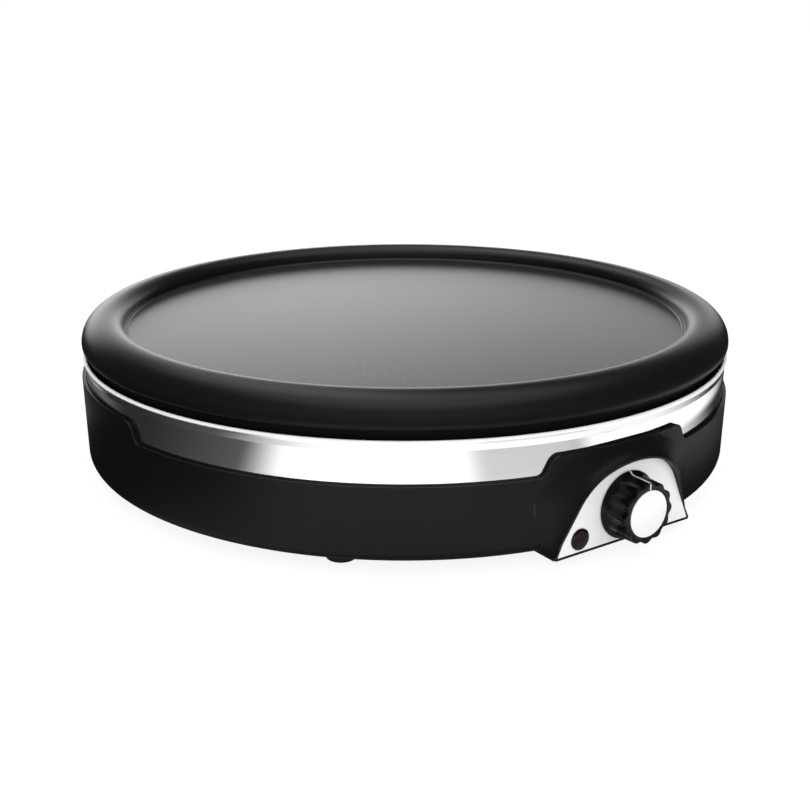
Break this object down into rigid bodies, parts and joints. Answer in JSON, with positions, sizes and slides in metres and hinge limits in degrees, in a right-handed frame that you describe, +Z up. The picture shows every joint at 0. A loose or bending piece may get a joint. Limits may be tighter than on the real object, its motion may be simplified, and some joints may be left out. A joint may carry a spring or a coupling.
{
  "type": "electric crepe maker",
  "caption": "Round tabletop electric crepe maker: a non-stick griddle with a bulged rim, a bright steel band, a low black casing and a fluted thermostat knob on an arched panel.",
  "frame": {"origin": "middle of the footprint, knob and cord gland included, on the table under the feet", "axes": "+Z up through the griddle, -Y towards the control panel and knob, +X to the right of someone facing the knob"},
  "size_m": [0.332, 0.3504, 0.0772],
  "materials": {
    "griddle_coating": "non-stick coated, satin",
    "element_sheath": "oxidised",
    "ceramic": "unglazed",
    "galvanised_steel": "galvanised",
    "zinc_plated_steel": "zinc plated",
    "band_steel": "bright",
    "casing_plastic": "satin",
    "fascia_metal": "satin",
    "lens_plastic": "translucent",
    "lamp_glass": "clear",
    "knob_plastic": "gloss",
    "cap_metal": "satin",
    "shaft_steel": "turned",
    "copper_tube": "drawn",
    "fuse_metal": "plain",
    "nylon": "matte",
    "brown_insulation": "matte",
    "blue_insulation": "matte",
    "earth_insulation": "matte",
    "foot_rubber": "matte"
  },
  "bodies": {
    "base": {"band_screws": "zinc_plated_steel", "base_casing": "casing_plastic", "block_screws": "zinc_plated_steel", "capillary_tube": "copper_tube", "clamp_screws": "zinc_plated_steel", "control_fascia": "fascia_metal", "cord_gland": "nylon", "earth_lead": "earth_insulation", "earth_screw": "zinc_plated_steel", "element_terminals": "ceramic", "foot_front_left": "foot_rubber", "foot_front_right": "foot_rubber", "foot_rear_left": "foot_rubber", "foot_rear_right": "foot_rubber", "fuse_clip": "galvanised_steel", "fuse_lead": "brown_insulation", "griddle_plate": "griddle_coating", "heat_shield": "galvanised_steel", "heating_element": "element_sheath", "indicator_lens": "lens_plastic", "lamp_leads": "brown_insulation", "live_lead": "brown_insulation", "load_lead": "brown_insulation", "neon_lamp": "lamp_glass", "neutral_lead": "blue_insulation", "plate_screws": "zinc_plated_steel", "sensor_bulb": "copper_tube", "sensor_clamp": "galvanised_steel", "shield_spacers": "zinc_plated_steel", "steel_band": "band_steel", "terminal_block": "ceramic", "terminal_screws": "zinc_plated_steel", "thermal_fuse": "fuse_metal", "thermostat_body": "galvanised_steel", "thermostat_screws": "zinc_plated_steel"},
    "knob": {"thermostat_knob": "knob_plastic", "knob_cap": "cap_metal", "thermostat_shaft": "shaft_steel"}
  },
  "joints": [
    {"name": "knob_turn", "type": "hinge", "parent": "base", "child": "knob", "pos_m": [0, -0.16145, 0.021], "axis": [0, 1, 0], "range_deg": [0, 270]}
  ]
}
